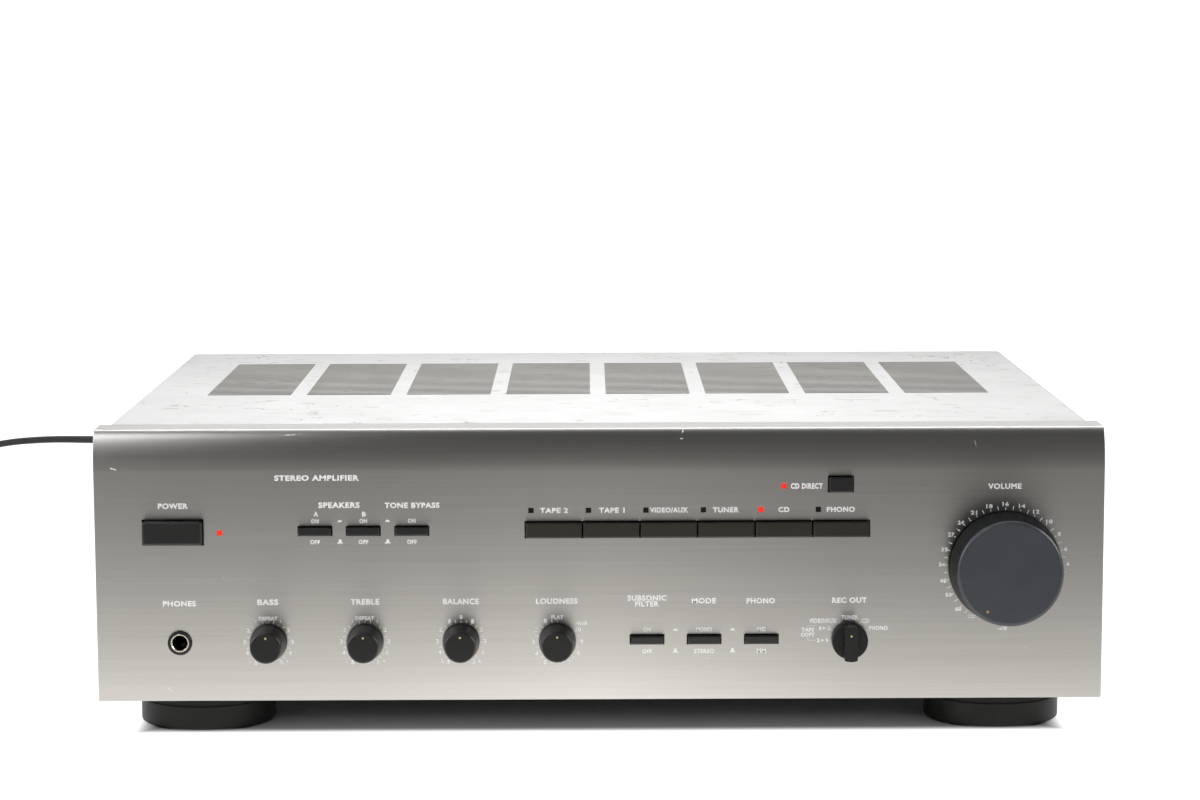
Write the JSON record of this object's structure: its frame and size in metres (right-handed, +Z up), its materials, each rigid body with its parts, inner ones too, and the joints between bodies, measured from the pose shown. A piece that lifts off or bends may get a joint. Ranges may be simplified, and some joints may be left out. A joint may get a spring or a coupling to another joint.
{
  "type": "integrated amplifier",
  "caption": "Full-width stereo hi-fi amplifier with a brushed panel, volume knob, tone knobs, push buttons, source keys, vented cover, round feet and a coiled mains lead.",
  "frame": {"origin": "on the table under the middle of the amplifier's box, its lead and plug left out", "axes": "+Z up, front panel towards -Y, +X to the right seen from the front"},
  "size_m": [0.7456, 0.4203, 0.132],
  "materials": {
    "panel_aluminium": "horizontally brushed, grey anodised",
    "cover_paint": "silver-grey baked paint, fine scratches",
    "chassis_steel": "zinc-plated sheet",
    "rear_paint": "dark grey baked paint",
    "foot_plastic": "moulded, satin, with a soft pad underneath",
    "screw_black": "black oxide",
    "screw_zinc": "zinc plated",
    "core_steel": "laminated, varnished",
    "winding": "wound wire under yellow tape",
    "heatsink_black": "black anodised extrusion",
    "package_black": "moulded epoxy",
    "circuit_board": "paper laminate",
    "capacitor_sleeve": "shrink sleeve",
    "switch_housing": "moulded",
    "pot_steel": "stamped",
    "socket_gold": "plated",
    "terminal_plastic": "moulded",
    "post_metal": "nickel plated",
    "cap_red": "moulded",
    "cap_black": "moulded",
    "ground_metal": "nickel plated, knurled",
    "lead_pvc": "soft, smooth jacket",
    "plug_plastic": "moulded",
    "jack_black": "moulded, plated ring",
    "lamp_lit": "lit red window",
    "lamp_dark": "unlit dark red window",
    "volume_satin": "satin, blue-grey charcoal",
    "knob_black": "satin",
    "button_black": "satin",
    "key_black": "satin"
  },
  "bodies": {
    "case": {"bottom_chassis": "chassis_steel", "front_subpanel": "chassis_steel", "front_panel": "panel_aluminium", "rear_panel": "rear_paint", "top_cover": "cover_paint", "foot_front_left": "foot_plastic", "foot_front_right": "foot_plastic", "foot_rear_left": "foot_plastic", "foot_rear_right": "foot_plastic", "foot_screws": "screw_zinc", "cover_screws": "screw_black", "transformer_core": "core_steel", "transformer_winding": "winding", "heatsink": "heatsink_black", "power_transistors": "package_black", "main_board": "circuit_board", "filter_capacitors": "capacitor_sleeve", "input_board": "circuit_board", "tone_board": "circuit_board", "control_pots": "pot_steel", "push_switches": "switch_housing", "phono_sockets": "socket_gold", "terminal_base": "terminal_plastic", "terminal_posts": "post_metal", "strain_relief": "plug_plastic", "mains_lead": "lead_pvc", "mains_coil": "lead_pvc", "mains_plug": "plug_plastic", "headphone_jack": "jack_black", "lit_indicators": "lamp_lit", "unlit_indicators": "lamp_dark"},
    "volume_knob": {"volume_knob": "volume_satin"},
    "bass_knob": {"bass_knob": "knob_black"},
    "treble_knob": {"treble_knob": "knob_black"},
    "balance_knob": {"balance_knob": "knob_black"},
    "loudness_knob": {"loudness_knob": "knob_black"},
    "rec_out_knob": {"rec_out_knob": "knob_black"},
    "power_button": {"power_button": "button_black"},
    "speaker_a_button": {"speaker_a_button": "button_black"},
    "speaker_b_button": {"speaker_b_button": "button_black"},
    "tone_bypass_button": {"tone_bypass_button": "button_black"},
    "cd_direct_button": {"cd_direct_button": "button_black"},
    "tape_2_key": {"tape_2_key": "key_black"},
    "tape_1_key": {"tape_1_key": "key_black"},
    "video_key": {"video_key": "key_black"},
    "tuner_key": {"tuner_key": "key_black"},
    "cd_key": {"cd_key": "key_black"},
    "phono_key": {"phono_key": "key_black"},
    "subsonic_button": {"subsonic_button": "button_black"},
    "mode_button": {"mode_button": "button_black"},
    "phono_type_button": {"phono_type_button": "button_black"},
    "terminal_cap_1": {"terminal_cap_1": "cap_red"},
    "terminal_cap_2": {"terminal_cap_2": "cap_black"},
    "terminal_cap_3": {"terminal_cap_3": "cap_red"},
    "terminal_cap_4": {"terminal_cap_4": "cap_black"},
    "terminal_cap_5": {"terminal_cap_5": "cap_red"},
    "terminal_cap_6": {"terminal_cap_6": "cap_black"},
    "terminal_cap_7": {"terminal_cap_7": "cap_red"},
    "terminal_cap_8": {"terminal_cap_8": "cap_black"},
    "ground_terminal_cap": {"ground_terminal_cap": "ground_metal"}
  },
  "joints": [
    {"name": "volume_knob_turn", "type": "hinge", "parent": "case", "child": "volume_knob", "pos_m": [0.175, -0.1637, 0.0718], "axis": [0, 1, 0], "range_deg": [0, 300]},
    {"name": "bass_knob_turn", "type": "hinge", "parent": "case", "child": "bass_knob", "pos_m": [-0.1434, -0.1637, 0.0396], "axis": [0, 1, 0], "range_deg": [-150, 150]},
    {"name": "treble_knob_turn", "type": "hinge", "parent": "case", "child": "treble_knob", "pos_m": [-0.1016, -0.1637, 0.0396], "axis": [0, 1, 0], "range_deg": [-150, 150]},
    {"name": "balance_knob_turn", "type": "hinge", "parent": "case", "child": "balance_knob", "pos_m": [-0.06, -0.1637, 0.0396], "axis": [0, 1, 0], "range_deg": [-150, 150]},
    {"name": "loudness_knob_turn", "type": "hinge", "parent": "case", "child": "loudness_knob", "pos_m": [-0.0183, -0.1637, 0.0396], "axis": [0, 1, 0], "range_deg": [-300, 0]},
    {"name": "rec_out_knob_turn", "type": "hinge", "parent": "case", "child": "rec_out_knob", "pos_m": [0.1082, -0.1637, 0.0396], "axis": [0, 1, 0], "range_deg": [-90, 60]},
    {"name": "power_button_press", "type": "slide", "parent": "case", "child": "power_button", "axis": [0, 1, 0], "range_m": [-0.003, 0.0005]},
    {"name": "speaker_a_button_press", "type": "slide", "parent": "case", "child": "speaker_a_button", "axis": [0, 1, 0], "range_m": [0, 0.0035], "stiffness_N_per_m": 150},
    {"name": "speaker_b_button_press", "type": "slide", "parent": "case", "child": "speaker_b_button", "axis": [0, 1, 0], "range_m": [0, 0.0035], "stiffness_N_per_m": 150},
    {"name": "tone_bypass_button_press", "type": "slide", "parent": "case", "child": "tone_bypass_button", "axis": [0, 1, 0], "range_m": [0, 0.0035], "stiffness_N_per_m": 150},
    {"name": "cd_direct_button_press", "type": "slide", "parent": "case", "child": "cd_direct_button", "axis": [0, 1, 0], "range_m": [0, 0.0035], "stiffness_N_per_m": 150},
    {"name": "tape_2_key_press", "type": "slide", "parent": "case", "child": "tape_2_key", "axis": [0, 1, 0], "range_m": [0, 0.0035], "stiffness_N_per_m": 150},
    {"name": "tape_1_key_press", "type": "slide", "parent": "case", "child": "tape_1_key", "axis": [0, 1, 0], "range_m": [0, 0.0035], "stiffness_N_per_m": 150},
    {"name": "video_key_press", "type": "slide", "parent": "case", "child": "video_key", "axis": [0, 1, 0], "range_m": [0, 0.0035], "stiffness_N_per_m": 150},
    {"name": "tuner_key_press", "type": "slide", "parent": "case", "child": "tuner_key", "axis": [0, 1, 0], "range_m": [0, 0.0035], "stiffness_N_per_m": 150},
    {"name": "cd_key_press", "type": "slide", "parent": "case", "child": "cd_key", "axis": [0, 1, 0], "range_m": [0, 0.0035], "stiffness_N_per_m": 150},
    {"name": "phono_key_press", "type": "slide", "parent": "case", "child": "phono_key", "axis": [0, 1, 0], "range_m": [0, 0.0035], "stiffness_N_per_m": 150},
    {"name": "subsonic_button_press", "type": "slide", "parent": "case", "child": "subsonic_button", "axis": [0, 1, 0], "range_m": [0, 0.0035], "stiffness_N_per_m": 150},
    {"name": "mode_button_press", "type": "slide", "parent": "case", "child": "mode_button", "axis": [0, 1, 0], "range_m": [0, 0.0035], "stiffness_N_per_m": 150},
    {"name": "phono_type_button_press", "type": "slide", "parent": "case", "child": "phono_type_button", "axis": [0, 1, 0], "range_m": [0, 0.0035], "stiffness_N_per_m": 150},
    {"name": "terminal_cap_1_turn", "type": "hinge", "parent": "case", "child": "terminal_cap_1", "pos_m": [-0.1075, 0.1763, 0.088], "axis": [0, 1, 0], "range_deg": [0, 1440]},
    {"name": "terminal_cap_2_turn", "type": "hinge", "parent": "case", "child": "terminal_cap_2", "pos_m": [-0.0825, 0.1763, 0.088], "axis": [0, 1, 0], "range_deg": [0, 1440]},
    {"name": "terminal_cap_3_turn", "type": "hinge", "parent": "case", "child": "terminal_cap_3", "pos_m": [-0.0575, 0.1763, 0.088], "axis": [0, 1, 0], "range_deg": [0, 1440]},
    {"name": "terminal_cap_4_turn", "type": "hinge", "parent": "case", "child": "terminal_cap_4", "pos_m": [-0.0325, 0.1763, 0.088], "axis": [0, 1, 0], "range_deg": [0, 1440]},
    {"name": "terminal_cap_5_turn", "type": "hinge", "parent": "case", "child": "terminal_cap_5", "pos_m": [-0.1075, 0.1763, 0.054], "axis": [0, 1, 0], "range_deg": [0, 1440]},
    {"name": "terminal_cap_6_turn", "type": "hinge", "parent": "case", "child": "terminal_cap_6", "pos_m": [-0.0825, 0.1763, 0.054], "axis": [0, 1, 0], "range_deg": [0, 1440]},
    {"name": "terminal_cap_7_turn", "type": "hinge", "parent": "case", "child": "terminal_cap_7", "pos_m": [-0.0575, 0.1763, 0.054], "axis": [0, 1, 0], "range_deg": [0, 1440]},
    {"name": "terminal_cap_8_turn", "type": "hinge", "parent": "case", "child": "terminal_cap_8", "pos_m": [-0.0325, 0.1763, 0.054], "axis": [0, 1, 0], "range_deg": [0, 1440]},
    {"name": "ground_terminal_cap_turn", "type": "hinge", "parent": "case", "child": "ground_terminal_cap", "pos_m": [0.196, 0.1693, 0.048], "axis": [0, 1, 0], "range_deg": [0, 1440]}
  ]
}
